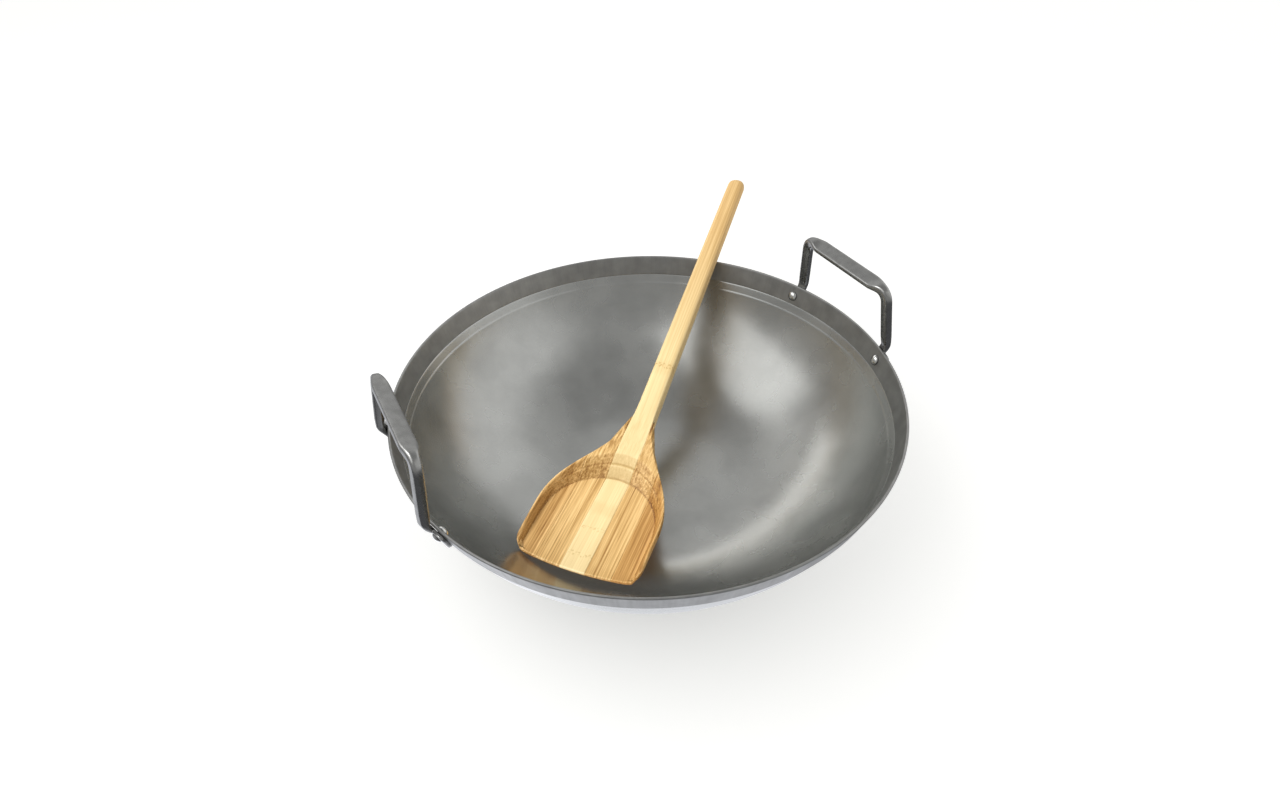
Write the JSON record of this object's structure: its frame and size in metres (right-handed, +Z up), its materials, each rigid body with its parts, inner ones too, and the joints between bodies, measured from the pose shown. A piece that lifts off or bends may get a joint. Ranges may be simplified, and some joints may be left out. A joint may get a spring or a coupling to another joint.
{
  "type": "grill wok",
  "caption": "Round steel wok with a flat base, a flared rim band and riveted upright loop handles, with a scooped bamboo spatula that lifts out.",
  "frame": {"origin": "centre of the flat base's underside, on the bowl's axis", "axes": "+Z up along the bowl's axis, X through the two handles, handle_right on +X"},
  "size_m": [0.4229, 0.4064, 0.167],
  "materials": {
    "carbon_steel": "satin, spun, with a brushed rim band",
    "handle_steel": "tumbled satin",
    "rivet_steel": "smooth, bright",
    "pale_bamboo": "sanded, lightly oiled",
    "amber_bamboo": "sanded, lightly oiled",
    "dark_bamboo": "sanded, lightly oiled"
  },
  "bodies": {
    "wok": {"bowl": "carbon_steel", "handle_right": "handle_steel", "handle_left": "handle_steel", "rivet_right_front": "rivet_steel", "rivet_right_back": "rivet_steel", "rivet_left_front": "rivet_steel", "rivet_left_back": "rivet_steel"},
    "spatula": {"spatula_centre_stave": "pale_bamboo", "spatula_left_strip": "amber_bamboo", "spatula_right_strip": "amber_bamboo", "spatula_left_edge": "dark_bamboo", "spatula_right_edge": "dark_bamboo"}
  },
  "joints": [
    {"name": "spatula_lift", "type": "slide", "parent": "wok", "child": "spatula", "axis": [0, 0, 1], "range_m": [0, 0.16]}
  ]
}
